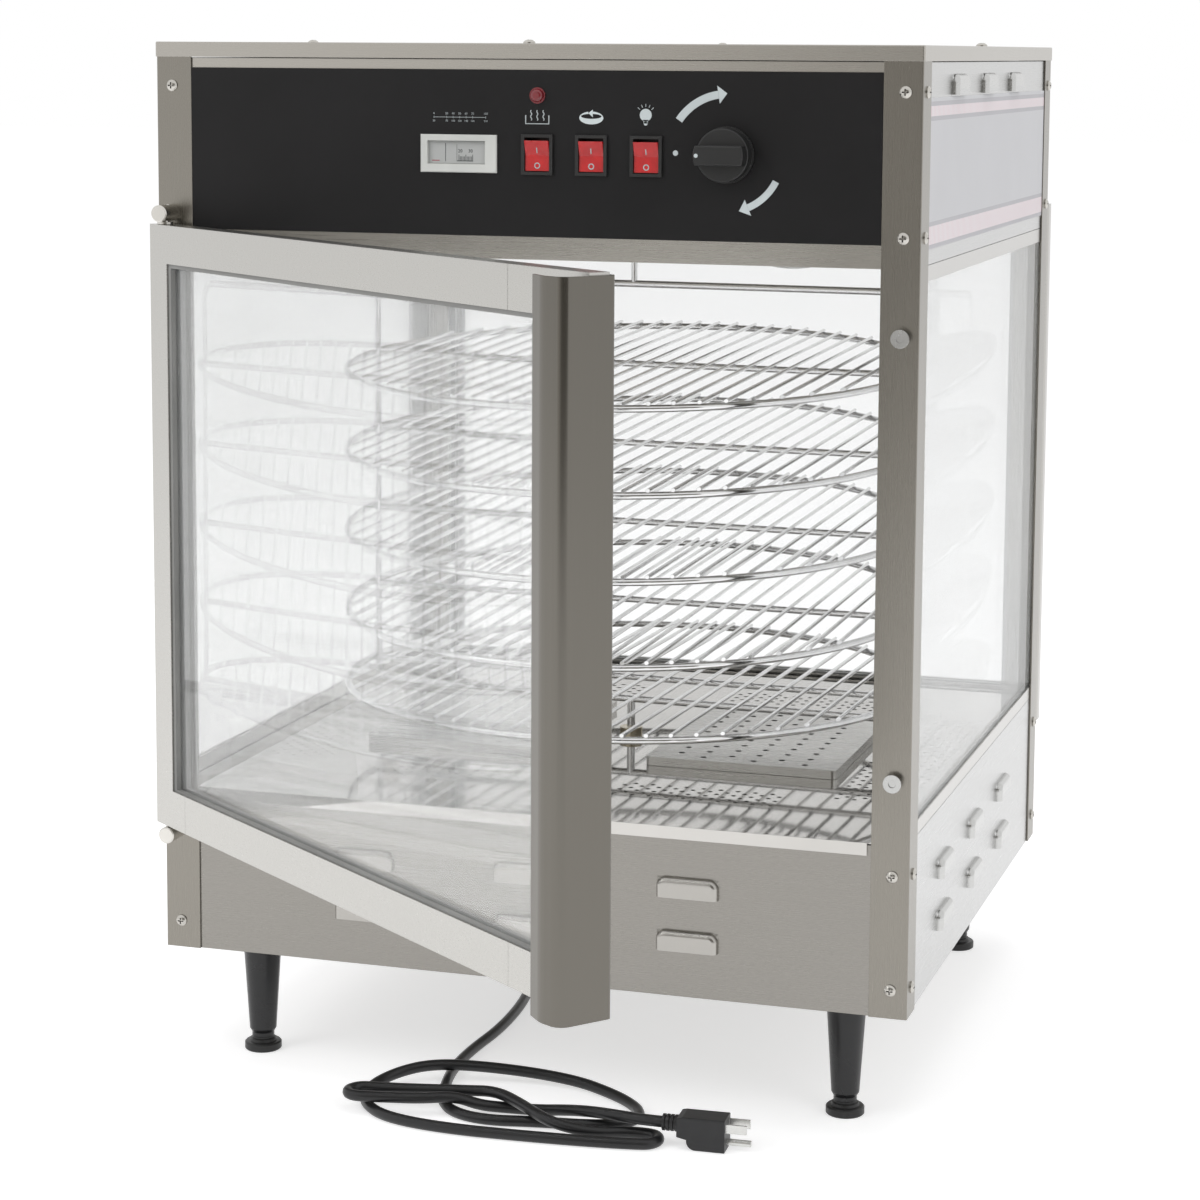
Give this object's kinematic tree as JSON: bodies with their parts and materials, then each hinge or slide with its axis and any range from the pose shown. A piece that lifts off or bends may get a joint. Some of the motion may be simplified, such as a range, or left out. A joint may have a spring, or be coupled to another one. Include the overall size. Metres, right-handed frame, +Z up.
{
  "type": "pizza warmer display cabinet",
  "caption": "Countertop heated display cabinet with glass sides, hinged glass doors front and rear, a motor-turned tiered wire rack, a control header, tapered legs and a mains cord.",
  "frame": {"origin": "centre of the cabinet's footprint on the counter", "axes": "+X to the right seen from the front, +Y to the back, +Z up; the front door faces -Y"},
  "size_m": [0.5672, 1.0124, 0.7608],
  "materials": {
    "stainless": "brushed stainless sheet",
    "chrome_wire": "plated wire",
    "glass_clear": "clear",
    "black_panel": "satin",
    "black_plastic": "satin",
    "black_rubber": "matte",
    "red_plastic": "translucent gloss",
    "sign_print": "printed sheet",
    "polished_steel": "polished stainless sheet",
    "element_steel": "heat-tinted",
    "motor_metal": "zinc plated",
    "brass_bush": "turned",
    "magnet_metal": "plated",
    "frosted_glass": "frosted"
  },
  "bodies": {
    "cabinet": {"base_front": "stainless", "base_rear": "stainless", "base_side_left": "stainless", "base_side_right": "stainless", "bottom_plate": "stainless", "cabinet_lamp": "frosted_glass", "ceiling_plate": "stainless", "control_fascia": "black_panel", "cord": "black_rubber", "door_magnets": "magnet_metal", "feet": "black_plastic", "floor_pan": "polished_steel", "gearmotor": "motor_metal", "glass_channels": "stainless", "header_front": "stainless", "header_rear": "stainless", "header_side_left": "stainless", "header_side_right": "stainless", "heating_element": "element_steel", "hinge_pins": "chrome_wire", "hinge_studs": "chrome_wire", "lamp_lens": "frosted_glass", "legs": "black_plastic", "lid": "stainless", "pilot_lamp": "red_plastic", "pivot_bush": "brass_bush", "plug": "black_plastic", "post_front_left": "stainless", "post_front_right": "stainless", "post_rear_left": "stainless", "post_rear_right": "stainless", "screws": "chrome_wire", "side_glass_left": "glass_clear", "side_glass_right": "glass_clear", "sign_panels": "sign_print", "strain_relief": "black_rubber", "switch_housings": "black_plastic", "thermometer": "black_plastic", "thermostat": "black_plastic", "tray_covers": "stainless", "water_pans": "polished_steel"},
    "front_door": {"front_door_frame": "stainless", "front_door_glass": "glass_clear", "front_door_gasket": "black_rubber", "front_door_handle": "stainless"},
    "rear_door": {"rear_door_frame": "stainless", "rear_door_glass": "glass_clear", "rear_door_gasket": "black_rubber", "rear_door_handle": "stainless"},
    "rack": {"rack_frame": "chrome_wire", "tier_1": "chrome_wire", "tier_2": "chrome_wire", "tier_3": "chrome_wire", "tier_4": "chrome_wire", "tier_5": "chrome_wire", "drive_coupling": "brass_bush"},
    "knob": {"control_knob": "black_plastic"},
    "heater_key": {"rocker_heater": "red_plastic"},
    "motor_key": {"rocker_motor": "red_plastic"},
    "light_key": {"rocker_light": "red_plastic"}
  },
  "joints": [
    {"name": "front_door_hinge", "type": "hinge", "parent": "cabinet", "child": "front_door", "pos_m": [-0.268, -0.2788, 0.4], "axis": [0, 0, 1], "range_deg": [-122.1, 37.9]},
    {"name": "rear_door_hinge", "type": "hinge", "parent": "cabinet", "child": "rear_door", "pos_m": [0.268, 0.2788, 0.4], "axis": [0, 0, 1], "range_deg": [-160, 0]},
    {"name": "rack_turn", "type": "hinge", "parent": "cabinet", "child": "rack", "pos_m": [0, 0, 0.4], "axis": [0, 0, 1], "continuous": true},
    {"name": "knob_turn", "type": "hinge", "parent": "cabinet", "child": "knob", "pos_m": [0.1453, -0.265, 0.6835], "axis": [0, 1, 0], "range_deg": [0, 270]},
    {"name": "heater_key_rock", "type": "hinge", "parent": "cabinet", "child": "heater_key", "pos_m": [0.0093, -0.262, 0.6816], "axis": [-1, 0, 0], "range_deg": [0, 16]},
    {"name": "motor_key_rock", "type": "hinge", "parent": "cabinet", "child": "motor_key", "pos_m": [0.0486, -0.262, 0.6816], "axis": [-1, 0, 0], "range_deg": [0, 16]},
    {"name": "light_key_rock", "type": "hinge", "parent": "cabinet", "child": "light_key", "pos_m": [0.0881, -0.262, 0.6816], "axis": [-1, 0, 0], "range_deg": [0, 16]}
  ]
}
